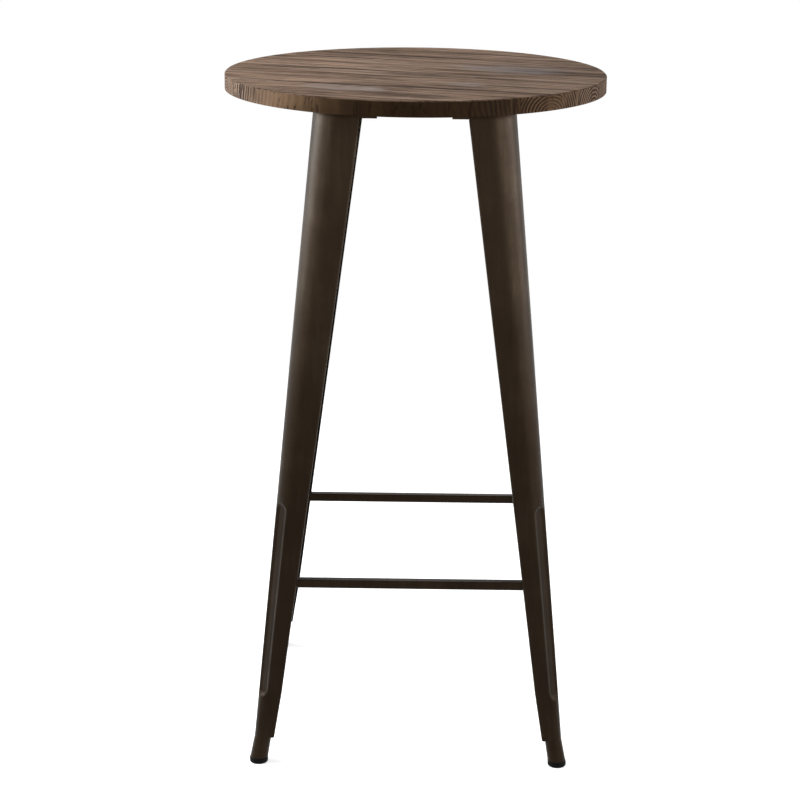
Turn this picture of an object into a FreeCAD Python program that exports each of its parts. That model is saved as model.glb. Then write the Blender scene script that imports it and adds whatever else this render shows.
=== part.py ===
import FreeCAD, Part
import math
import os

from FreeCAD import Vector

# Round bar table: plank top, four pressed sheet-steel legs and a square footrest.
# Millimetres, +Z up, origin on the floor below the middle of the top, front towards -Y.

# Overall sizes
table_height = 1067.0
top_diameter = 595.0
top_thickness = 24.0
top_edge_cut = 1.5
board_count = 6
board_turn = -17.0

# Pressed legs: reach is from the table's axis to a flank's outer face, width runs along the flank
leg_sheet = 1.5
leg_reach_top = 152.5
leg_reach_heel = 244.0
leg_width_top = 74.5
leg_width_knee = 37.0
leg_width_heel = 31.5
leg_corner_radius_top = 45.0
leg_corner_radius_heel = 13.4
knee_height = 120.0
heel_height = 43.0
lip_depth = 6.0
lip_inner_radius = 2.0
lip_notch_margin = 1.5
bend_steps = 5
corner_steps = 12
foot_radius_low = 14.2
foot_lean = 0.184

# Flute pressed into the outer corner of each leg
flute_top_height = 422.0
flute_bottom_height = 110.5
flute_floor_width = 19.0
flute_depth = 5.0
flute_wall_run = 3.5

# Corner brackets under the top, welded to the legs
bracket_plate = 3.0
bracket_drop = 25.0
bracket_overhang = 21.5
bracket_arm_width = 46.0
bracket_corner_gap = 47.0
bracket_bend_radius = 2.0

# Wood screws through the brackets into the top
screw_diameter = 5.0
screw_head_flats = 8.0
screw_head_height = 3.2
screw_bite = 16.0
screw_end_distance = 12.0
screw_inset = 26.0
hole_clearance = 0.3
thread_gap = 0.1

# Footrest ring, its gussets, the ledges that carry it, and its bolts
footrest_height = 293.5
footrest_tube = 13.5
footrest_wall = 1.2
footrest_edge_cut = 1.2
footrest_lip_gap = 0.3
footrest_flute_gap = 1.0
gusset_plate = 5.0
gusset_side = 24.0
ledge_plate = 2.5
ledge_reach = 37.0
ledge_corner_cut = 12.0
bolt_diameter = 6.0
bolt_inset = 9.0
bolt_flats = 10.0
bolt_head_height = 4.0

# Foot caps with a cross-shaped plug
cap_diameter = 29.0
cap_height = 6.5
plug_length = 18.0
plug_web = 5.0
plug_gap = 0.3

# How far cutting shapes run past what they cut
overrun = 5.0

# Worked out from the sizes above
underside = table_height - top_thickness
leg_lean = (leg_reach_heel - leg_reach_top) / (underside - heel_height)
corner_taper = (leg_corner_radius_top - leg_corner_radius_heel) / (underside - heel_height)
lip_radius = lip_inner_radius + leg_sheet
screw_radius = screw_diameter / 2
bolt_radius = bolt_diameter / 2
footrest_bottom = footrest_height - footrest_tube / 2
footrest_top = footrest_height + footrest_tube / 2

up = Vector(0, 0, 1)
middle = Vector(0, 0, 0)
quarter_angle = 90.0
root_two = math.sqrt(2)
corner_names = ("back_right", "back_left", "front_left", "front_right")
side_names = ("back", "left", "front", "right")

os.makedirs("parts", exist_ok=True)


def write_node(name, solids):
    """One STEP file: a single solid, or a group of separate solids."""
    shape = solids[0] if len(solids) == 1 else Part.makeCompound(solids)
    shape.exportStep("parts/" + name + ".step")


def quarter_turn(shape, count):
    """A copy turned about the table's axis by whole quarter turns."""
    turned = shape.copy()
    turned.rotate(middle, up, count * quarter_angle)
    return turned


def across_diagonal(shape):
    """The shape mirrored in the upright plane through the leg's outer corner."""
    return shape.mirror(middle, Vector(1, -1, 0))


def between(low, low_value, high, high_value, place):
    """Straight-line value at a place, also past the two ends."""
    return low_value + (high_value - low_value) * (place - low) / (high - low)


def flat_sided(outline, levels):
    """Solid with flat sides through the outlines (lists of x, y) at rising levels."""
    rings = [[Vector(x, y, z) for x, y in outline(z)] for z in levels]
    faces = [Part.Face(Part.makePolygon(ring + ring[:1])) for ring in (rings[0], rings[-1])]
    for lower, upper in zip(rings, rings[1:]):
        for i in range(len(lower)):
            corners = [lower[i - 1], lower[i], upper[i], upper[i - 1], lower[i - 1]]
            faces.append(Part.Face(Part.makePolygon(corners)))
    solid = Part.Solid(Part.makeShell(faces))
    return solid.removeSplitter()


def edges_through(shape, points):
    """The edges whose middles lie nearest to the given points."""
    return [min(shape.Edges, key=lambda edge: (edge.CenterOfMass - point).Length) for point in points]


def hexagon(flats, height, seat):
    """Upright hexagonal prism on a seat."""
    radius = flats / math.sqrt(3)
    side_count = 6
    turns = [2 * math.pi * i / side_count for i in range(side_count + 1)]
    points = [seat + Vector(radius * math.cos(turn), radius * math.sin(turn), 0) for turn in turns]
    return Part.Face(Part.makePolygon(points)).extrude(up * height)


# Plank top


def plank_top(screw_points):
    """Edge-glued boards, cut round, with an eased top edge and pilot holes for the bracket screws."""
    radius = top_diameter / 2
    disc = Part.makeCylinder(radius, top_thickness, Vector(0, 0, underside))
    top_rim = max((edge for edge in disc.Edges if edge.isClosed()), key=lambda edge: edge.CenterOfMass.z)
    disc = disc.makeChamfer(top_edge_cut, [top_rim])
    for x, y in screw_points:
        pilot_radius = screw_radius + thread_gap
        pilot_depth = screw_bite + hole_clearance
        disc = disc.cut(Part.makeCylinder(pilot_radius, pilot_depth, Vector(x, y, underside)))
    board_width = top_diameter / board_count
    boards = []
    for i in range(board_count):
        corner = Vector(-top_diameter, i * board_width - radius, underside - overrun)
        strip = Part.makeBox(2 * top_diameter, board_width, top_thickness + 2 * overrun, corner)
        strip.rotate(middle, up, board_turn)
        boards.append(disc.common(strip).Solids[0])
    return boards


# Pressed legs, drawn for the back right corner


def leg_reach(z):
    return leg_reach_top + (underside - z) * leg_lean


def leg_width(z):
    if z > knee_height:
        return between(knee_height, leg_width_knee, underside, leg_width_top, z)
    return between(heel_height, leg_width_heel, knee_height, leg_width_knee, z)


def corner_radius(z):
    return leg_corner_radius_heel + (z - heel_height) * corner_taper


def corner_line(z):
    """Distance from the table's axis to the leg's outer corner, along the diagonal."""
    return root_two * (leg_reach(z) - corner_radius(z)) + corner_radius(z)


def corner_point(z):
    return Vector(corner_line(z) / root_two, corner_line(z) / root_two, z)


def bend_points(x, y, radius, first_angle, steps):
    """Points round a quarter bend, in small flat steps."""
    turns = [math.radians(first_angle + quarter_angle * i / steps) for i in range(steps + 1)]
    return [(x + radius * math.cos(turn), y + radius * math.sin(turn)) for turn in turns]


def leg_body(levels, inset):
    """Filled leg inset from its outside, with rounded lips and a tapering round outer corner."""

    def outline(z):
        outer = leg_reach(z) - inset
        inner = leg_reach(z) - leg_width(z) + inset
        bend = lip_radius - inset
        centre = leg_reach(z) - corner_radius(z)
        near_lip = bend_points(outer - bend, inner + bend, bend, -quarter_angle, bend_steps)
        corner = bend_points(centre, centre, corner_radius(z) - inset, 0, corner_steps)
        far_lip = bend_points(inner + bend, outer - bend, bend, quarter_angle, bend_steps)
        return [(inner, inner)] + near_lip + corner + far_lip

    return flat_sided(outline, levels)


def foot_centre(z):
    """Point on the axis of the foot tube, which kicks outwards below the heel."""
    place = leg_reach_heel - leg_corner_radius_heel + (heel_height - z) * foot_lean
    return Vector(place, place, z)


def foot_radius(z):
    return between(cap_height, foot_radius_low, heel_height, leg_corner_radius_heel, z)


def foot_rod(levels, inset):
    """Tapering rod along the foot tube, in the same small flat steps as the leg's corner."""

    def outline(z):
        centre = foot_centre(z)
        quarters = [bend_points(0, 0, foot_radius(z) - inset, quarter * quarter_angle, corner_steps)[:-1]
                    for quarter in range(len(corner_names))]
        return [(centre.x + x, centre.y + y) for points in quarters for x, y in points]

    return flat_sided(outline, levels)


def leg_mouth(z):
    """L-shaped outline of the two walls left off, where the channel opens towards the table's axis."""
    edge = leg_reach(z) - leg_width(z)
    past = edge - overrun
    wall = edge + lip_radius
    lip_end = leg_reach(z) - lip_depth
    return [(past, past), (lip_end, past), (lip_end, wall), (wall, wall), (wall, lip_end), (past, lip_end)]


def lip_notch(z):
    """Where the lip of one flank is cropped to let the bracket pass."""
    edge = leg_reach(z) - leg_width(z)
    face = leg_reach(z) - leg_sheet
    low = leg_reach(z) - lip_depth - overrun
    near = edge - overrun
    far = edge + lip_radius
    return [(near, low), (far, low), (far, face), (near, face)]


def flute_tool(floor_half, depth):
    """Slot with sloping walls along the leg's outer corner, down to a flat floor."""
    top = corner_point(flute_top_height)
    bottom = corner_point(flute_bottom_height)
    along = (bottom - top).normalize()
    across = Vector(-1, 1, 0).normalize()
    outward = along.cross(across)
    mouth_half = flute_floor_width / 2 + flute_wall_run
    upper = top + along * mouth_half
    lower = bottom - along * mouth_half
    rim_half = floor_half + flute_wall_run * (depth + overrun) / flute_depth
    wires = []
    for level, half in ((-depth, floor_half), (overrun, rim_half)):
        side = across * half
        end = along * half
        lift = outward * level
        edges = [
            Part.LineSegment(upper + side + lift, lower + side + lift),
            Part.Arc(lower + side + lift, lower + end + lift, lower - side + lift),
            Part.LineSegment(lower - side + lift, upper - side + lift),
            Part.Arc(upper - side + lift, upper - end + lift, upper + side + lift),
        ]
        wires.append(Part.Wire([edge.toShape() for edge in edges]))
    return Part.makeLoft(wires, True, True)


def flute_back(z):
    """Distance along the diagonal to the inner face of the flute's floor."""
    run = corner_line(flute_bottom_height) - corner_line(flute_top_height)
    rise = flute_top_height - flute_bottom_height
    return corner_line(z) - (flute_depth + leg_sheet) * math.hypot(run, rise) / rise


def pressed_leg():
    """Sheet-steel channel with turned-in lips, a pressed flute and a rolled foot tube."""
    floor_half = flute_floor_width / 2
    wall_length = math.hypot(flute_wall_run, flute_depth)
    back_half = floor_half + leg_sheet * (wall_length - flute_wall_run) / flute_depth
    cut_levels = (heel_height - overrun, knee_height, underside + overrun)
    notch_foot = underside - bracket_drop - lip_notch_margin

    channel = leg_body((heel_height, knee_height, underside), 0)
    channel = channel.cut(flute_tool(floor_half, flute_depth))
    hollow = leg_body(cut_levels, leg_sheet).cut(flute_tool(back_half, flute_depth + leg_sheet))
    mouth = flat_sided(leg_mouth, cut_levels)
    notch = flat_sided(lip_notch, (notch_foot, underside + overrun))
    for tool in (hollow, mouth, notch, across_diagonal(notch)):
        channel = channel.cut(tool)

    tube = foot_rod((cap_height, heel_height), 0)
    tube = tube.cut(foot_rod((cap_height - overrun, heel_height + overrun), leg_sheet))
    return channel.fuse(tube).Solids[0]


# Brackets and screws under the top, drawn for the back right corner


def screw_places():
    """Screw positions in one bracket, near the end of each arm."""
    end = leg_reach_top - leg_width_top - bracket_overhang + screw_end_distance
    inset = leg_reach_top - screw_inset
    return [(end, inset), (inset, end)]


def bracket_arm():
    """One arm: a flat plate under the top with a flange turned down along the leg's flank."""
    foot = underside - bracket_drop
    plate_low = underside - bracket_plate
    face = leg_reach_top - leg_sheet
    free = leg_reach_top - leg_width_top - bracket_overhang
    end = leg_reach_top - bracket_corner_gap
    bend = leg_reach(plate_low) - leg_sheet - bracket_plate
    low_face = leg_reach(foot) - leg_sheet
    outline = [
        Vector(free, face, underside),
        Vector(free, face - bracket_arm_width, underside),
        Vector(free, face - bracket_arm_width, plate_low),
        Vector(free, bend, plate_low),
        Vector(free, low_face - bracket_plate, foot),
        Vector(free, low_face, foot),
    ]
    profile = Part.Face(Part.makePolygon(outline + outline[:1]))
    arm = profile.extrude(Vector(end - free, 0, 0))
    half_way = (free + end) / 2
    outer_edge = edges_through(arm, [Vector(half_way, face, underside)])
    arm = arm.makeFillet(bracket_bend_radius + bracket_plate, outer_edge)
    inner_edge = edges_through(arm, [Vector(half_way, bend, plate_low)])
    return arm.makeFillet(bracket_bend_radius, inner_edge)


def leg_bracket():
    """Two arms at a right angle and the plate between them, pressed from one sheet."""
    arm = bracket_arm()
    end = leg_reach_top - bracket_corner_gap
    inner = leg_reach_top - leg_sheet - bracket_arm_width
    outer = leg_reach_top - leg_sheet - bracket_bend_radius - bracket_plate
    outline = [(inner, inner), (end, inner), (outer, end), (end, outer), (inner, end)]
    corner_plate = flat_sided(lambda z: outline, (underside - bracket_plate, underside))
    bracket = arm.fuse([across_diagonal(arm), corner_plate]).removeSplitter()
    reach = bracket_plate + 2 * overrun
    for x, y in screw_places():
        hole_foot = Vector(x, y, underside - bracket_plate - overrun)
        bracket = bracket.cut(Part.makeCylinder(screw_radius + hole_clearance, reach, hole_foot))
    return bracket.Solids[0]


def top_screw(x, y):
    """Hexagon-headed wood screw pointing up, its head under the bracket's plate."""
    seat = underside - bracket_plate
    head = hexagon(screw_head_flats, screw_head_height, Vector(x, y, seat - screw_head_height))
    shank = Part.makeCylinder(screw_radius, bracket_plate + screw_bite, Vector(x, y, seat))
    return head.fuse(shank).Solids[0]


# Footrest ring, drawn for the back side and the back right corner

footrest_outer = leg_reach(footrest_top) - lip_depth - footrest_lip_gap
footrest_inner = footrest_outer - footrest_tube


def footrest_bar():
    """Square tube along the back, mitred at both ends and clipped to clear the flutes."""
    length = 2 * footrest_outer
    start = Vector(-footrest_outer, footrest_inner, footrest_bottom)
    bar = Part.makeBox(length, footrest_tube, footrest_tube, start)
    long_edges = [edge for edge in bar.Edges if abs(edge.tangentAt(edge.FirstParameter).x) > 0]
    bar = bar.makeChamfer(footrest_edge_cut, long_edges)
    inside = footrest_tube - 2 * footrest_wall
    bar = bar.cut(Part.makeBox(length, inside, inside, start + Vector(0, footrest_wall, footrest_wall)))
    clip = root_two * (flute_back(footrest_top) - footrest_flute_gap)
    far = footrest_outer + overrun
    right_end = [(clip / 2, clip / 2), (clip - far, far)]
    left_end = [(far - clip, far), (-clip / 2, clip / 2)]
    outline = [(0, 0)] + right_end + left_end
    wedge = flat_sided(lambda z: outline, (footrest_bottom - overrun, footrest_top + overrun))
    return bar.common(wedge).Solids[0]


def bolt_place(z):
    return Vector(footrest_inner - bolt_inset, footrest_inner - bolt_inset, z)


def bolt_hole(gap):
    low = footrest_bottom - ledge_plate - overrun
    high = footrest_bottom + gusset_plate + overrun
    return Part.makeCylinder(bolt_radius + gap, high - low, bolt_place(low))


def footrest_gusset():
    """Three-cornered tapped plate welded into the corner of the ring, resting on the ledge."""
    near = footrest_inner - gusset_side
    outline = [(footrest_inner, footrest_inner), (near, footrest_inner), (footrest_inner, near)]
    plate = flat_sided(lambda z: outline, (footrest_bottom, footrest_bottom + gusset_plate))
    return plate.cut(bolt_hole(thread_gap)).Solids[0]


def ledge_outline(z):
    """Square that fits between the leg's flanks, with its outer and inner corners cut off."""
    outer = leg_reach(z) - leg_sheet
    inner = leg_reach(z) - ledge_reach
    clip = root_two * (flute_back(z) - footrest_flute_gap)
    cut = inner + ledge_corner_cut
    far_side = [(outer, inner), (outer, clip - outer), (clip - outer, outer), (inner, outer)]
    return far_side + [(inner, cut), (cut, inner)]


def footrest_ledge():
    """Plate welded across the inside of the leg, under the corner of the footrest."""
    plate = flat_sided(ledge_outline, (footrest_bottom - ledge_plate, footrest_bottom))
    return plate.cut(bolt_hole(hole_clearance)).Solids[0]


def footrest_bolt():
    """Hexagon bolt up through the ledge into the tapped gusset."""
    seat = footrest_bottom - ledge_plate
    head = hexagon(bolt_flats, bolt_head_height, bolt_place(seat - bolt_head_height))
    shank = Part.makeCylinder(bolt_radius, ledge_plate + gusset_plate, bolt_place(seat))
    return head.fuse(shank).Solids[0]


# Foot caps, drawn for the back right corner


def plug_outline(z):
    """Cross that fits inside the rolled foot tube."""
    bore_radius = foot_radius(cap_height + plug_length) - leg_sheet
    half = plug_web / 2
    long = math.sqrt(bore_radius ** 2 - half ** 2) - plug_gap
    centre = foot_centre(z)
    arm = [(long, -half), (long, half), (half, half)]
    points = []
    for count in range(len(corner_names)):
        points += arm
        arm = [(-y, x) for x, y in arm]
    return [(centre.x + x, centre.y + y) for x, y in points]


def foot_cap():
    """Round cap under the foot tube, with its plug."""
    centre = foot_centre(cap_height)
    cap = Part.makeCylinder(cap_diameter / 2, cap_height, Vector(centre.x, centre.y, 0))
    plug = flat_sided(plug_outline, (cap_height, cap_height + plug_length))
    return cap.fuse(plug).Solids[0]


# Put the table together


def turned_places(places, count):
    """Flat x, y places turned by whole quarter turns."""
    for i in range(count):
        places = [(-y, x) for x, y in places]
    return places


corner_makers = {
    "leg": pressed_leg,
    "leg_bracket": leg_bracket,
    "footrest_ledge": footrest_ledge,
    "footrest_gusset": footrest_gusset,
}
for piece_name, maker in corner_makers.items():
    piece = maker()
    for count, corner_name in enumerate(corner_names):
        write_node(piece_name + "_" + corner_name, [quarter_turn(piece, count)])

bar = footrest_bar()
for count, side_name in enumerate(side_names):
    write_node("footrest_" + side_name, [quarter_turn(bar, count)])

small_pieces = {
    "top_screws": [top_screw(x, y) for x, y in screw_places()],
    "footrest_bolts": [footrest_bolt()],
    "foot_caps": [foot_cap()],
}
for group_name, solids in small_pieces.items():
    corners = range(len(corner_names))
    write_node(group_name, [quarter_turn(solid, count) for count in corners for solid in solids])

screw_points = []
for count in range(len(corner_names)):
    screw_points += turned_places(screw_places(), count)
for number, board in enumerate(plank_top(screw_points), start=1):
    write_node("top_board_" + str(number), [board])
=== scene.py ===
import math

import bpy
from mathutils import Matrix, Vector


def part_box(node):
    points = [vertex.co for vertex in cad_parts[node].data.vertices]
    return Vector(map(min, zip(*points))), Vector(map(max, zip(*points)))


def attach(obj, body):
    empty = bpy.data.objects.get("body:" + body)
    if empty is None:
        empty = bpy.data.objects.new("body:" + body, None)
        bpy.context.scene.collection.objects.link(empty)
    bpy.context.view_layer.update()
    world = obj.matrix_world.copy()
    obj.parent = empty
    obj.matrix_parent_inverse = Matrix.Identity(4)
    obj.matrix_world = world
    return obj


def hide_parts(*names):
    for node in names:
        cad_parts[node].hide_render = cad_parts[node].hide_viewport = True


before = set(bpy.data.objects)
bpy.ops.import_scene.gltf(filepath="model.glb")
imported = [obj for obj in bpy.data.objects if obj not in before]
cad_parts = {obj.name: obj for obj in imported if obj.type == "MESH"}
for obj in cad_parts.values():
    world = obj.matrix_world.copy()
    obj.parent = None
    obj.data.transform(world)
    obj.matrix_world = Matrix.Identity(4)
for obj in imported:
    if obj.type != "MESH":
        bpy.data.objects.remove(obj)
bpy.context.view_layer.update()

# Sizes in metres, read from the frame
top_low, top_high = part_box("top_board_1")
board_names = ["top_board_%d" % number for number in range(1, 7)]
board_boxes = [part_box(name) for name in board_names]
top_radius = max(high[0] for low, high in board_boxes)
top_middle_height = (top_low[2] + top_high[2]) / 2
board_turn = math.radians(-17.0)
board_width = 2 * top_radius / len(board_names)
leg_low, leg_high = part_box("leg_back_right")
foot_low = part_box("foot_caps")[0]
leg_top = leg_high[2]
tube_low = leg_low[2]

# Pressed legs, drawn for the back right corner; heights and reaches as the CAD leg has them
corner_names = ("back_right", "back_left", "front_left", "front_right")
leg_sheet = 0.0015
heel_height = 0.043
knee_height = 0.120
reach_top = 0.1525
reach_heel = 0.244
width_top = 0.0745
width_knee = 0.037
width_heel = 0.0315
corner_radius_top = 0.045
corner_radius_heel = 0.0134
foot_radius_low = 0.0142
foot_lean = 0.184
lip_depth = 0.006
lip_radius = 0.0035
lip_crop_height = 1.0165
flute_top = 0.422
flute_bottom = 0.1105
flute_floor_half = 0.0095
flute_depth = 0.005
flute_wall_run = 0.0035
flute_softness = 0.0030
flute_floor_softness = 0.0070
root_two = math.sqrt(2.0)

# Rows and columns of the legs' mesh
edge_strip = 0.0002
heel_rows = (0.060, 0.080, 0.100)
fine_row = 0.0009
fine_rows = 20
fine_below_flute = 0.002
fine_below_top = 0.016
flute_clear = 0.022
above_flute = 0.010
flute_rows = 12
upper_rows = 14
lip_steps = 6
lip_columns = 5
flank_steps = 5
corner_steps = 44
corner_half = 0.0155
ring_steps = 48
foot_steps = 6

# Foot caps: radius, and the profile as shares of it with heights
cap_radius = 0.0145
cap_profile = (
    (0.80, 0.0),
    (0.93, 0.0004),
    (0.985, 0.0014),
    (1.0, 0.0028),
    (1.0, 0.0065),
    (1.004, 0.0086),
    (0.996, 0.0091),
    (0.96, 0.0093),
)

# Wood of the top, with places in metres along the boards and across them
# Per board: pith beside and above its middle, rings per metre, tint, strength of the figure
boards = (
    (0.280, 0.030, 200.0, 1.00, 0.55),
    (-0.002, -0.018, 205.0, 1.02, 0.60),
    (0.006, -0.022, 170.0, 0.93, 0.75),
    (-0.012, -0.035, 190.0, 1.02, 0.85),
    (0.200, 0.020, 200.0, 1.14, 0.95),
    (-0.020, -0.030, 190.0, 1.20, 0.95),
)
# Long dark streaks: board, along from and to, share of its width, half width
dark_streaks = (
    (2, -0.25, 0.05, 0.35, 0.007),
    (2, 0.00, 0.25, 0.45, 0.006),
    (2, 0.05, 0.15, 0.75, 0.004),
    (3, -0.25, -0.15, 0.80, 0.006),
    (3, -0.20, 0.00, 0.95, 0.006),
    (3, 0.10, 0.17, 0.75, 0.005),
    (4, 0.22, 0.30, 0.50, 0.005),
    (5, -0.25, -0.05, 0.25, 0.007),
    (6, 0.00, 0.10, 0.40, 0.006),
)
# Weathered patches: middle, half lengths, colour
grey_patches = (
    ((-0.040, -0.200), (0.060, 0.026), (0.34, 0.30, 0.285)),
    ((0.140, 0.080), (0.100, 0.048), (0.23, 0.212, 0.213)),
    ((0.115, -0.100), (0.035, 0.022), (0.31, 0.275, 0.26)),
)
# Painted shade round the rim, darkest where it faces front and back and lightest on the left, with a
# warm ochre tint: how far the face looks to the right, from 0 to 1, and strength
rim_painted_shade = (
    (0.0, 0.20),
    (0.07, 0.27),
    (0.18, 0.46),
    (0.29, 0.80),
    (0.45, 0.94),
    (0.70, 0.93),
    (0.73, 0.84),
    (0.77, 0.70),
    (0.81, 0.55),
    (0.92, 0.42),
)
rim_ochre = ((0.06, 0.0), (0.18, 0.7), (0.30, 1.0), (0.80, 1.0), (0.92, 0.15))
# Dark late wood within one ring: place in the ring and strength
ring_profile = ((0.32, 0.0), (0.54, 1.0), (0.86, 1.0), (0.95, 0.0))

# Noises of the wood: scale along, across and through a board, detail, roughness
wander_noise = ((2.4, 7.0, 7.0), 3.0, 0.5)
bend_noise = ((5.0, 10.0, 10.0), 2.0, 0.5)
fine_noise = ((6.0, 250.0, 250.0), 3.0, 0.7)
fibre_noise = ((3.4, 105.0, 105.0), 4.0, 0.75)
streak_noise = ((2.6, 58.0, 58.0), 5.0, 0.75)
check_noise = ((95.0, 150.0, 9.0), 3.0, 0.65)
broad_noise = ((2.4, 16.0, 16.0), 3.0, 0.6)
broken_ring_noise = ((9.0, 60.0, 60.0), 2.0, 0.6)
ring_fade_noise = ((2.4, 24.0, 24.0), 1.0, 0.5)
wobble_noise = ((14.0, 40.0, 40.0), 3.0, 0.6)
mottle_noise = ((6.0, 95.0, 95.0), 4.0, 0.75)

# Soft steps of the wood: value where it starts, value where it is full, strength when full
rim_step = (0.75, 0.35)
# Painted shade on the rounded top edge
painted_edge_shade_step = (0.98, 0.85)
end_grain_step = (0.45, 0.75)
broken_ring_step = (0.25, 0.55)
ring_fade_step = (0.30, 0.50)
pale_fibre_step = (0.53, 0.60, 0.62)
dark_fibre_step = (0.49, 0.41, 0.85)
dark_fine_step = (0.49, 0.40, 0.90)
check_step = (0.46, 0.36, 0.85)
mottle_step = (0.41, 0.57)
patch_step = (1.3, -0.2, 0.80)
streak_fibre_step = (0.70, 0.52)
joint_step = (0.0014, 0.0003, 0.55)

# Reaches of the wood's noises, and strengths
board_shift = 0.37
ring_wander = 0.035
grain_bend = 0.030
mark_waver = 0.020
patch_waver = 4.0
figure_start = 0.39
figure_widening = 0.05
figure_full = 0.37
streak_outside_share = 2.3
streak_inside_share = 0.9
streak_strength = 0.95
least_taper = 0.001
late_wood_strength = 0.25
# Strength of the painted shade on the rounded top edge
painted_edge_shade_strength = 0.6
ring_relief = 0.20
fibre_relief = 1.1
streak_relief = 0.9

# Colours of the wood
mid_brown = (0.190, 0.120, 0.080)
light_brown = (0.350, 0.231, 0.160)
pale_brown = (0.47, 0.345, 0.26)
dark_brown = (0.050, 0.029, 0.018)
black_brown = (0.020, 0.0105, 0.0062)
# Painted shade colour of the rim
painted_shade_brown = (0.018, 0.0085, 0.0032)
ring_black = (0.010, 0.0052, 0.0030)
# Warm ochre tint of the rim's painted shade
ochre_tint = (1.02, 0.88, 0.62)
mid_brown_at = 0.36
light_brown_at = 0.60
even_grey = (0.5, 0.5, 0.5)

# Surfaces: value from and to with the roughness there, and strength of the bumps with their depth
wood_roughness = (0.3, 0.7, 0.78, 0.60)
wood_bump = (0.45, 0.0010)
lacquer_roughness = (0.3, 0.7, 0.47, 0.35)
lacquer_bump = (0.12, 0.0004)
rubber_bump = (0.2, 0.0003)

# Lacquer of the frame: noises as above, shades by tone, and painted light towards the top, as a
# lighter tint and more shine
cloud_noise = ((11.0, 11.0, 11.0), 5.0, 0.6)
rub_noise = ((95.0, 95.0, 7.0), 4.0, 0.6)
speck_noise = ((900.0, 900.0, 900.0), 2.0, 0.5)
cloud_share = 0.65
speck_relief = 0.5
lacquer_shades = (
    (0.30, (0.0115, 0.0064, 0.0029)),
    (0.52, (0.0185, 0.0109, 0.0054)),
    (0.74, (0.0290, 0.0193, 0.0111)),
)
# Painted light: tint of the lighter top, and the heights over which it grows
top_light_tint = (1.85, 1.82, 1.75)
top_light_heights = (0.40, 1.03)
lacquer_shine = (0.085, 0.18)

# Zinc and rubber
spangle_scale = 700.0
zinc_shades = ((0.0, (0.42, 0.42, 0.43)), (1.0, (0.56, 0.56, 0.58)))
rubber_noise = ((1400.0, 1400.0, 1400.0), 3.0, 0.5)
rubber_shades = ((0.3, (0.004, 0.004, 0.004)), (0.7, (0.009, 0.0085, 0.0085)))

# Stage: floor and background, as seen by the camera and as they light the table
floor_radius = 2.1
floor_steps = 96
floor_shade_seen = (0.86, 0.86, 0.86)
floor_shade_unseen = (0.30, 0.30, 0.30)
floor_glow_seen = 0.62
background_seen = 1.0
background_unseen = 0.14

# Lamps: name, place, target, size, power, colour
upper_legs = (0.0, 0.0, 0.95)
white = (1.0, 1.0, 1.0)
lamps = (
    ("overhead", (-1.7, 0.2, 2.2), (0.0, 0.0, 1.0), (1.6, 1.6), 50.0, white),
    ("left_side", (-2.1, 0.25, 1.20), upper_legs, (1.5, 0.8), 40.0, (0.86, 0.95, 1.0)),
    ("right_side", (2.2, -0.1, 1.05), upper_legs, (1.3, 1.0), 23.5, white),
    ("left_front", (-1.8, -1.2, 1.05), upper_legs, (1.3, 0.8), 7.5, white),
    ("right_front", (1.7, -1.5, 1.0), upper_legs, (1.4, 0.9), 16.0, white),
)

# Camera, fitted to the photograph
camera_place = (0.0180, -3.4191, 1.5453)
camera_pitch = 0.2879
camera_yaw = 0.0111
camera_roll = 0.0088
camera_lens = 98.447
sensor_width = 36.0
clip_distance = 100.0


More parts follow.
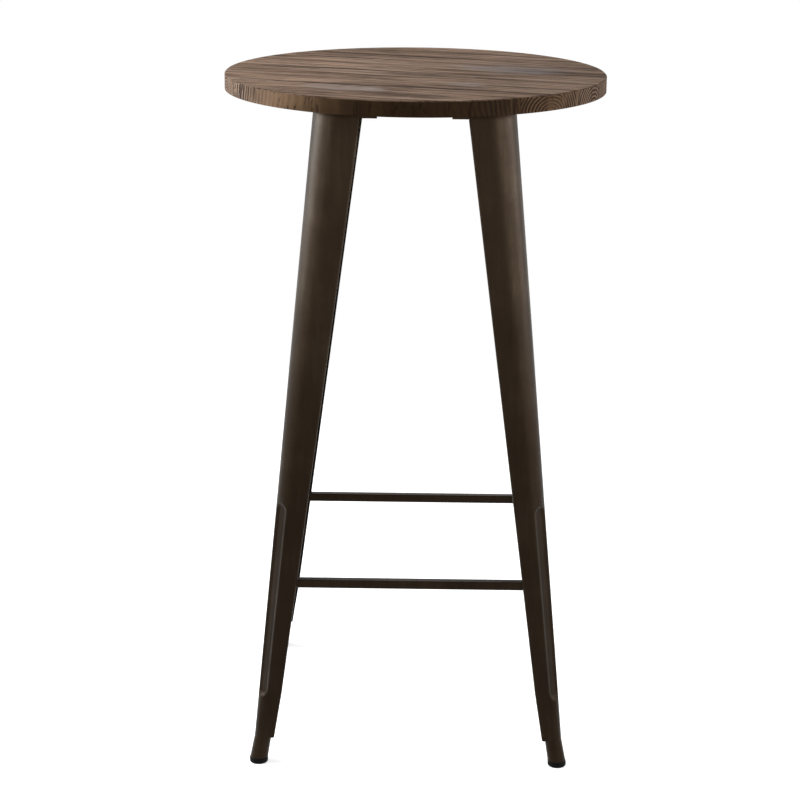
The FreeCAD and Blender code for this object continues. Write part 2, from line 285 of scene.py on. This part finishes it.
class ShaderNodes:
    """Adds and links the shader nodes of one material or world."""

    def __init__(self, owner):
        owner.use_nodes = True
        self.tree = owner.node_tree

    def fill(self, node, inputs):
        """Link a node's inputs, or set their constants."""
        for name, value in inputs.items():
            socket = node.inputs[name]
            if isinstance(value, bpy.types.NodeSocket):
                self.tree.links.new(value, socket)
            elif socket.type == "RGBA":
                socket.default_value = (*value, 1.0)
            else:
                socket.default_value = value

    def add(self, kind, inputs=None, **settings):
        node = self.tree.nodes.new(kind)
        for name, value in settings.items():
            setattr(node, name, value)
        self.fill(node, inputs or {})
        return node

    def math(self, operation, first, second=0.0, clamp=False):
        inputs = {0: first, 1: second}
        return self.add("ShaderNodeMath", inputs, operation=operation, use_clamp=clamp).outputs[0]

    def plus(self, first, second):
        return self.math("ADD", first, second)

    def minus(self, first, second):
        return self.math("SUBTRACT", first, second)

    def times(self, first, second):
        return self.math("MULTIPLY", first, second)

    def squares(self, first, second):
        """Sum of two squares."""
        return self.plus(self.math("POWER", first, 2.0), self.math("POWER", second, 2.0))

    def parts(self, vector):
        node = self.add("ShaderNodeSeparateXYZ", {"Vector": vector})
        return node.outputs["X"], node.outputs["Y"], node.outputs["Z"]

    def object_place(self):
        return self.add("ShaderNodeTexCoord").outputs["Object"]

    def mapped(self, vector, setting, value):
        """Vector that is moved, turned or scaled."""
        return self.add("ShaderNodeMapping", {"Vector": vector, setting: value}).outputs["Vector"]

    def noise(self, vector, scale, detail, roughness):
        """Noise drawn out by its own scale in each direction."""
        place = self.mapped(vector, "Scale", scale)
        inputs = {"Vector": place, "Scale": 1.0, "Detail": detail, "Roughness": roughness}
        return self.add("ShaderNodeTexNoise", inputs).outputs["Fac"]

    def sway(self, vector, scale, detail, roughness):
        """Noise that lies evenly round zero."""
        return self.minus(self.noise(vector, scale, detail, roughness), 0.5)

    def ramp(self, value, stops):
        """Colour by stops of place and colour."""
        node = self.add("ShaderNodeValToRGB", {"Fac": value})
        elements = node.color_ramp.elements
        while len(elements) < len(stops):
            elements.new(0.5)
        for element, (place, colour) in zip(elements, stops):
            element.position = place
            element.color = (*colour, 1.0)
        return node.outputs["Color"]

    def strength(self, value, stops):
        """Strength from 0 to 1 by stops of place and strength."""
        return self.ramp(value, [(place, (level, level, level)) for place, level in stops])

    def mix(self, factor, first, second, blend_type="MIX"):
        inputs = {0: factor, 6: first, 7: second}
        return self.add("ShaderNodeMix", inputs, data_type="RGBA", blend_type=blend_type).outputs[2]

    def tinted(self, factor, colour, tint):
        """Colour multiplied by a tint, as far as the factor says."""
        return self.mix(factor, colour, self.mix(1.0, colour, tint, "MULTIPLY"))

    def ranged(self, value, low, high, low_value, high_value, shape="LINEAR"):
        """Value moved from one range to another, and held at its ends."""
        inputs = {"Value": value, "From Min": low, "From Max": high}
        inputs.update({"To Min": low_value, "To Max": high_value})
        return self.add("ShaderNodeMapRange", inputs, interpolation_type=shape).outputs["Result"]

    def soft_step(self, value, none_at, full_at, full=1.0):
        """Soft step from 0 to its full value."""
        return self.ranged(value, none_at, full_at, 0.0, full, "SMOOTHSTEP")

    def bump(self, height, strength, distance):
        inputs = {"Height": height, "Strength": strength, "Distance": distance}
        return self.add("ShaderNodeBump", inputs).outputs["Normal"]

    def seen(self):
        """1 on rays from the camera, also by way of metal or glass, and 0 on others."""
        path = self.add("ShaderNodeLightPath").outputs
        seen = self.plus(path["Is Camera Ray"], path["Is Glossy Ray"])
        return self.math("ADD", seen, path["Is Transmission Ray"], clamp=True)


def new_material(name):
    """Material with its nodes and its Principled shader."""
    material = bpy.data.materials.new(name)
    nodes = ShaderNodes(material)
    return material, nodes, nodes.tree.nodes["Principled BSDF"]


# Wood of the top: each board is cut from a round log, so rings show on faces and ends alike


class BoardWood:
    """One board's wood, with its own place in the log, fibres, streaks and weathering."""

    def __init__(self, number):
        self.number = number
        self.middle = (number - 0.5) * board_width - top_radius
        self.material, self.nodes, shader = new_material("reclaimed_wood_%d" % number)
        self.find_places()
        self.cut_rings()
        self.draw_fibres()
        self.nodes.fill(shader, {
            "Base Color": self.darken_joints_edges_and_rim(self.streaks(self.patches(self.grain()))),
            "Roughness": self.nodes.ranged(self.fibre, *wood_roughness),
            "Normal": self.nodes.bump(self.relief(), *wood_bump),
            "Specular IOR Level": 0.06,
        })

    def find_places(self):
        """Places on the boards and in the log, and which way the surface faces."""
        nodes = self.nodes
        turn = (0.0, 0.0, -board_turn)
        start = (board_shift * self.number, -self.middle, -top_middle_height)
        self.on_top = nodes.mapped(nodes.object_place(), "Rotation", turn)
        self.in_log = nodes.mapped(self.on_top, "Location", start)
        self.along, across = nodes.parts(self.on_top)[:2]
        self.wobble = nodes.sway(self.on_top, *wobble_noise)
        self.wavy = nodes.plus(across, nodes.times(self.wobble, mark_waver))
        normal = nodes.add("ShaderNodeNewGeometry").outputs["True Normal"]
        self.facing_right, facing_up = nodes.parts(normal)[::2]
        level_share = nodes.math("ABSOLUTE", facing_up)
        self.rim = nodes.soft_step(level_share, *rim_step)
        # Band of the rounded top edge, which gets painted shade
        rounded = nodes.soft_step(level_share, *painted_edge_shade_step)
        self.painted_edge_shade = nodes.math("SUBTRACT", rounded, self.rim, clamp=True)
        end_share = nodes.math("ABSOLUTE", nodes.parts(nodes.mapped(normal, "Rotation", turn))[0])
        self.end_grain = nodes.times(nodes.soft_step(end_share, *end_grain_step), self.rim)

    def cut_rings(self):
        """Rings round the pith, wandering slowly along the board."""
        nodes = self.nodes
        pith_side, pith_depth, ring_rate = boards[self.number - 1][:3]
        self.from_middle, height = nodes.parts(self.in_log)[1:]
        side = nodes.minus(self.from_middle, pith_side)
        depth = nodes.minus(height, pith_depth)
        wander = nodes.times(nodes.sway(self.in_log, *wander_noise), ring_wander)
        distance = nodes.plus(nodes.math("SQRT", nodes.squares(side, depth)), wander)
        self.rings = nodes.math("FRACT", nodes.times(distance, ring_rate))
        self.ring_lines = nodes.strength(self.rings, ring_profile)

    def draw_fibres(self):
        """Fibres drawn out along the grain, which bends a little round faults in the wood."""
        nodes = self.nodes
        bend = nodes.times(nodes.sway(self.on_top, *bend_noise), grain_bend)
        bend = nodes.add("ShaderNodeCombineXYZ", {"Y": bend}).outputs["Vector"]
        bent = nodes.add("ShaderNodeVectorMath", {0: self.in_log, 1: bend}, operation="ADD")
        self.bent = bent.outputs["Vector"]
        self.fibre = self.on_faces(fibre_noise)
        self.streak = self.on_faces(streak_noise)

    def on_faces(self, settings):
        """Noise along the grain that is left out on the rim."""
        return self.nodes.mix(self.rim, self.nodes.noise(self.bent, *settings), even_grey)

    def grain(self):
        """Colour of the bare wood."""
        nodes = self.nodes
        tint, figure = boards[self.number - 1][3:]
        mid, light = [tuple(channel * tint for channel in shade) for shade in (mid_brown, light_brown)]
        broad = nodes.noise(self.bent, *broad_noise)
        colour = nodes.ramp(broad, ((mid_brown_at, mid), (light_brown_at, light)))
        colour = nodes.mix(nodes.soft_step(self.fibre, *pale_fibre_step), colour, pale_brown)
        broken = nodes.soft_step(nodes.noise(self.bent, *broken_ring_noise), *broken_ring_step)
        late_wood = nodes.times(self.ring_lines, broken)
        colour = nodes.mix(nodes.times(late_wood, late_wood_strength), colour, dark_brown)
        colour = nodes.mix(nodes.soft_step(self.fibre, *dark_fibre_step), colour, dark_brown)
        fine = self.on_faces(fine_noise)
        colour = nodes.mix(nodes.soft_step(fine, *dark_fine_step), colour, dark_brown)
        checks = nodes.mix(self.rim, even_grey, nodes.noise(self.bent, *check_noise))
        colour = nodes.mix(nodes.soft_step(checks, *check_step), colour, black_brown)
        figure_step = (figure_start + figure_widening * figure, figure_full, figure)
        return nodes.mix(nodes.soft_step(self.streak, *figure_step), colour, black_brown)

    def patches(self, colour):
        """Weathered grey patches, broken up along the grain."""
        nodes = self.nodes
        mottle = nodes.soft_step(nodes.noise(self.on_top, *mottle_noise), *mottle_step)
        for middle, half, shade in grey_patches:
            if abs(middle[1] - self.middle) < half[1] + board_width / 2:
                side = nodes.math("DIVIDE", nodes.minus(self.along, middle[0]), half[0])
                ahead = nodes.math("DIVIDE", nodes.minus(self.wavy, middle[1]), half[1])
                away = nodes.plus(nodes.squares(side, ahead), nodes.times(self.wobble, patch_waver))
                mask = nodes.times(nodes.soft_step(away, *patch_step), mottle)
                colour = nodes.mix(mask, colour, shade)
        return colour

    def streaks(self, colour):
        """Long dark streaks that narrow to both ends."""
        nodes = self.nodes
        for board, first, last, place, half in dark_streaks:
            if board == self.number:
                line = (board - 1 + place) * board_width - top_radius
                off = nodes.math("ABSOLUTE", nodes.minus(self.wavy, line))
                from_first = nodes.minus(self.along, first)
                share = nodes.math("DIVIDE", from_first, last - first, clamp=True)
                taper = nodes.math("POWER", nodes.times(share, nodes.minus(1.0, share)), 0.5)
                off = nodes.math("DIVIDE", off, nodes.plus(taper, least_taper))
                outside = streak_outside_share * half
                mask = nodes.soft_step(off, outside, streak_inside_share * half, streak_strength)
                mask = nodes.times(mask, nodes.soft_step(self.fibre, *streak_fibre_step))
                mask = nodes.times(mask, nodes.minus(1.0, self.rim))
                colour = nodes.mix(mask, colour, black_brown)
        return colour

    def darken_joints_edges_and_rim(self, colour):
        """Dark joints between the boards, painted shade on the rounded top edge, and painted shade,
        ochre tint and end grain of the rim.
        """
        nodes = self.nodes
        from_joint = nodes.minus(board_width / 2, nodes.math("ABSOLUTE", self.from_middle))
        colour = nodes.mix(nodes.soft_step(from_joint, *joint_step), colour, black_brown)
        # Painted shade on the rounded top edge
        colour = nodes.mix(nodes.times(self.painted_edge_shade, painted_edge_shade_strength), colour, dark_brown)
        # Painted shade round the rim by the way it faces, with a warm ochre tint
        to_right = nodes.plus(nodes.times(self.facing_right, 0.5), 0.5)
        ochre = nodes.times(self.rim, nodes.strength(to_right, rim_ochre))
        colour = nodes.tinted(ochre, colour, ochre_tint)
        painted_rim_shade = nodes.times(self.rim, nodes.strength(to_right, rim_painted_shade))
        colour = nodes.mix(painted_rim_shade, colour, painted_shade_brown)
        fade = nodes.soft_step(nodes.noise(self.bent, *ring_fade_noise), *ring_fade_step)
        end_rings = nodes.times(nodes.times(self.ring_lines, fade), self.end_grain)
        return nodes.mix(end_rings, colour, ring_black)

    def relief(self):
        """Height of the surface, raised by rings, fibres and streaks."""
        nodes = self.nodes
        fibres = nodes.times(self.fibre, fibre_relief)
        height = nodes.plus(nodes.times(self.rings, ring_relief), fibres)
        return nodes.plus(height, nodes.times(self.streak, streak_relief))


# Metal and rubber


def frame_material():
    """Dark rubbed bronze with mottled lacquer, fine orange peel and drawn-out rub marks, and painted
    light that makes it lighter and shinier towards the top.
    """
    material, nodes, shader = new_material("aged_bronze_lacquer")
    place = nodes.object_place()
    rub = nodes.noise(place, *rub_noise)
    cloud = nodes.times(nodes.noise(place, *cloud_noise), cloud_share)
    tone = nodes.plus(cloud, nodes.times(rub, 1.0 - cloud_share))
    # Painted light: lighter and shinier towards the top of the legs
    painted_top_light = nodes.ranged(nodes.parts(place)[2], *top_light_heights, 0.0, 1.0)
    relief = nodes.plus(nodes.times(nodes.noise(place, *speck_noise), speck_relief), rub)
    nodes.fill(shader, {
        "Base Color": nodes.tinted(painted_top_light, nodes.ramp(tone, lacquer_shades), top_light_tint),
        "Roughness": nodes.ranged(tone, *lacquer_roughness),
        "Normal": nodes.bump(relief, *lacquer_bump),
        "Specular IOR Level": nodes.ranged(painted_top_light, 0.0, 1.0, *lacquer_shine),
        "Metallic": 0.45,
    })
    return material


def steel_material():
    """Zinc-plated screws and bolts."""
    material, nodes, shader = new_material("zinc_plate")
    inputs = {"Vector": nodes.object_place(), "Scale": spangle_scale}
    spangle = nodes.add("ShaderNodeTexVoronoi", inputs).outputs["Distance"]
    colour = nodes.ramp(spangle, zinc_shades)
    nodes.fill(shader, {"Base Color": colour, "Metallic": 1.0, "Roughness": 0.38})
    return material


def rubber_material():
    """Black moulded rubber of the foot caps, with a fine grain."""
    material, nodes, shader = new_material("black_rubber")
    grain = nodes.noise(nodes.object_place(), *rubber_noise)
    nodes.fill(shader, {
        "Base Color": nodes.ramp(grain, rubber_shades),
        "Roughness": 0.6,
        "Normal": nodes.bump(grain, *rubber_bump),
        "Specular IOR Level": 0.05,
    })
    return material


def dress(names, material):
    """Give CAD nodes a finished material."""
    for name in names:
        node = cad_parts[name]
        node.data.materials.clear()
        node.data.materials.append(material)


# Pressed legs with a corner that widens upwards and softly pressed flutes


def straight(low, low_value, high, high_value, place):
    """Straight-line value between two places."""
    return low_value + (high_value - low_value) * (place - low) / (high - low)


def spread(low, high, steps):
    """Even steps from low to high, both included."""
    return [straight(0, low, steps, high, step) for step in range(steps + 1)]


def leg_reach(z):
    return straight(heel_height, reach_heel, leg_top, reach_top, z)


def leg_width(z):
    if z > knee_height:
        return straight(knee_height, width_knee, leg_top, width_top, z)
    return straight(heel_height, width_heel, knee_height, width_knee, z)


def corner_radius(z):
    return straight(heel_height, corner_radius_heel, leg_top, corner_radius_top, z)


def soft_lower(first, second, softness):
    """The lower of two values, rounded where they cross."""
    share = max(softness - abs(first - second), 0.0) / softness
    return min(first, second) - share * share * softness / 4.0


def flute_ceiling(offset, z, corner_line):
    """How far out the flute lets the surface stand, at an offset from the leg's corner line."""
    mouth_half = flute_floor_half + flute_wall_run
    upper = flute_top - mouth_half
    lower = flute_bottom + mouth_half
    past = max(z - upper, lower - z, 0.0)
    spread_out = math.hypot(offset, past)
    depth = flute_depth - (spread_out - flute_floor_half) * flute_depth / flute_wall_run
    return corner_line - soft_lower(depth, flute_depth, flute_floor_softness)


def corner_surface(offset, z):
    """Point on the outside of the leg near its corner, offset sideways from the corner line."""
    reach = leg_reach(z)
    radius = corner_radius(z)
    corner_line = root_two * (reach - radius) + radius
    if abs(offset) < radius / root_two:
        out = root_two * (reach - radius) + math.sqrt(radius ** 2 - offset ** 2)
    else:
        out = root_two * reach - abs(offset)
    out = soft_lower(out, flute_ceiling(offset, z, corner_line), flute_softness)
    return ((out - offset) / root_two, (out + offset) / root_two, z)


def leg_section(z):
    """Outline of the sheet's outside at one height, from lip to lip."""
    reach = leg_reach(z)
    edge = reach - leg_width(z)
    half = [(reach - lip_depth, edge, z)]
    for step in range(lip_steps + 1):
        turn = math.pi / 2 * (step / lip_steps - 1)
        out = reach + lip_radius * (math.cos(turn) - 1)
        half.append((out, edge + lip_radius * (math.sin(turn) + 1), z))
    offsets = [corner_half * (2 * step / corner_steps - 1) for step in range(corner_steps + 1)]
    corner = [corner_surface(offset, z) for offset in offsets]
    start = half[-1]
    for step in range(1, flank_steps):
        share = step / flank_steps
        half.append((reach, start[1] + share * (corner[0][1] - start[1]), z))
    far_half = [(y, x, height) for x, y, height in reversed(half)]
    return half + corner + far_half


def leg_levels():
    """Heights of the leg's rows, close together where the flute ends."""
    levels = [heel_height, heel_height + edge_strip, *heel_rows]
    levels += [flute_bottom - fine_below_flute + fine_row * step for step in range(fine_rows)]
    levels += spread(flute_bottom + flute_clear, flute_top - flute_clear, flute_rows)
    levels += [flute_top - fine_below_top + fine_row * step for step in range(fine_rows)]
    levels += spread(flute_top + above_flute, lip_crop_height, upper_rows)
    return sorted(levels) + [leg_top]


def foot_centre(z):
    """How far the foot tube's axis stands from the table's axis, along x and y alike."""
    return reach_heel - corner_radius_heel + (heel_height - z) * foot_lean


def ring_points(centre, radius, z):
    """Points of a level circle on the leg's diagonal."""
    turns = [2 * math.pi * step / ring_steps for step in range(ring_steps)]
    return [(centre + radius * math.cos(turn), centre + radius * math.sin(turn), z) for turn in turns]


def foot_tube_rows():
    """Rings of the rolled foot tube, from the cap up to the heel."""
    rows = []
    levels = spread(tube_low, heel_height, foot_steps)
    for z in levels[:-1] + [heel_height - edge_strip, heel_height]:
        radius = straight(tube_low, foot_radius_low, heel_height, corner_radius_heel, z)
        rows.append(ring_points(foot_centre(z), radius, z))
    return rows


def grid_faces(rows, first, closed):
    """Faces between neighbouring rows of points that are numbered from first."""
    width = len(rows[0])
    faces = []
    for row in range(len(rows) - 1):
        for column in range(width if closed else width - 1):
            after = (column + 1) % width
            low = first + row * width
            faces.append((low + column, low + after, low + width + after, low + width + column))
    return faces


def make_piece(name, vertices, faces, material):
    """Smooth mesh piece that rides on the table."""
    mesh = bpy.data.meshes.new(name)
    mesh.from_pydata(vertices, [], faces)
    mesh.polygons.foreach_set("use_smooth", [True] * len(mesh.polygons))
    mesh.materials.append(material)
    piece = bpy.data.objects.new(name, mesh)
    bpy.context.collection.objects.link(piece)
    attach(piece, "root")
    return piece


def quarter_turned(points, count):
    """Points turned about the table's axis by whole quarter turns."""
    for step in range(count):
        points = [(-y, x, z) for x, y, z in points]
    return points


def make_legs(material):
    """Four pressed legs of sheet steel, each with its rolled foot tube."""
    rows = [leg_section(z) for z in leg_levels()]
    width = len(rows[0])
    # The lips end one row below the top
    faces = []
    for face in grid_faces(rows, 0, False):
        row, column = divmod(face[0], width)
        lip = column < lip_columns or column >= width - 1 - lip_columns
        if not (lip and row == len(rows) - 2):
            faces.append(face)
    vertices = [point for row in rows for point in row]
    tube = foot_tube_rows()
    faces += grid_faces(tube, len(vertices), True)
    vertices += [point for row in tube for point in row]
    for count, corner_name in enumerate(corner_names):
        turned = quarter_turned(vertices, count)
        piece = make_piece("pressed_leg_" + corner_name, turned, faces, material)
        sheet = piece.modifiers.new("sheet", "SOLIDIFY")
        sheet.thickness = leg_sheet
        sheet.offset = -1.0
        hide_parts("leg_" + corner_name)


def make_caps(material):
    """Moulded foot caps: a rounded puck under each foot tube, with a short skirt round it."""
    rows = []
    for share, height in cap_profile:
        centre = foot_centre(max(height, tube_low))
        rows.append(ring_points(centre, share * cap_radius, foot_low[2] + height))
    one_cap = [point for row in rows for point in row]
    vertices = []
    faces = []
    for count in range(len(corner_names)):
        first = len(vertices)
        faces += grid_faces(rows, first, True)
        faces.append(tuple(first + step for step in reversed(range(ring_steps))))
        vertices += quarter_turned(one_cap, count)
    piece = make_piece("foot_cap_pucks", vertices, faces, material)
    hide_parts("foot_caps")


# Stage: pale floor, soft lamps and the camera of the photograph


def make_floor():
    """White round floor that shines a little to the camera and still takes the shadow."""
    turns = [2 * math.pi * step / floor_steps for step in range(floor_steps)]
    points = [(floor_radius * math.cos(turn), floor_radius * math.sin(turn), 0.0) for turn in turns]
    mesh = bpy.data.meshes.new("floor")
    mesh.from_pydata(points, [], [tuple(range(floor_steps))])
    floor = bpy.data.objects.new("floor", mesh)
    bpy.context.collection.objects.link(floor)
    material, nodes, shader = new_material("white_floor")
    nodes.tree.nodes.remove(shader)
    seen = nodes.seen()
    shade = nodes.mix(seen, floor_shade_unseen, floor_shade_seen)
    diffuse = nodes.add("ShaderNodeBsdfDiffuse", {"Color": shade}).outputs[0]
    glow = nodes.add("ShaderNodeEmission", {"Strength": nodes.times(seen, floor_glow_seen)}).outputs[0]
    both = nodes.add("ShaderNodeAddShader", {0: diffuse, 1: glow}).outputs[0]
    nodes.fill(nodes.tree.nodes["Material Output"], {"Surface": both})
    mesh.materials.append(material)


def make_world():
    """Even soft light, and a white background for what the camera sees directly."""
    world = bpy.data.worlds.new("studio")
    bpy.context.scene.world = world
    nodes = ShaderNodes(world)
    strength = nodes.times(nodes.seen(), background_seen - background_unseen)
    strength = nodes.plus(strength, background_unseen)
    nodes.fill(nodes.tree.nodes["Background"], {"Color": white, "Strength": strength})


def add_lamp(name, place, target, size, power, colour):
    """Rectangular soft lamp aimed at a point."""
    lamp = bpy.data.lights.new(name, "AREA")
    lamp.color = colour
    lamp.shape = "RECTANGLE"
    lamp.size, lamp.size_y = size
    lamp.energy = power
    holder = bpy.data.objects.new(name, lamp)
    bpy.context.collection.objects.link(holder)
    holder.location = place
    holder.rotation_euler = (Vector(target) - Vector(place)).to_track_quat("-Z", "Y").to_euler()


def make_camera():
    """Camera at the photograph's viewing angle."""
    camera = bpy.data.cameras.new("camera")
    camera.lens = camera_lens
    camera.sensor_width = sensor_width
    camera.clip_end = clip_distance
    holder = bpy.data.objects.new("camera", camera)
    bpy.context.collection.objects.link(holder)
    yaw = Matrix.Rotation(camera_yaw, 4, "Z")
    pitch = Matrix.Rotation(math.pi / 2 - camera_pitch, 4, "X")
    roll = Matrix.Rotation(camera_roll, 4, "Z")
    holder.matrix_world = Matrix.Translation(camera_place) @ yaw @ pitch @ roll
    bpy.context.scene.camera = holder


bronze = frame_material()
rubber = rubber_material()
fasteners = ["top_screws", "footrest_bolts"]
caps = ["foot_caps"]
metal_names = [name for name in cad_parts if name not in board_names + fasteners + caps]
for number, name in enumerate(board_names, start=1):
    dress([name], BoardWood(number).material)
dress(metal_names, bronze)
dress(fasteners, steel_material())
dress(caps, rubber)
make_legs(bronze)
make_caps(rubber)

make_floor()
make_world()
for lamp_settings in lamps:
    add_lamp(*lamp_settings)
make_camera()
bpy.context.scene.view_settings.view_transform = "Standard"
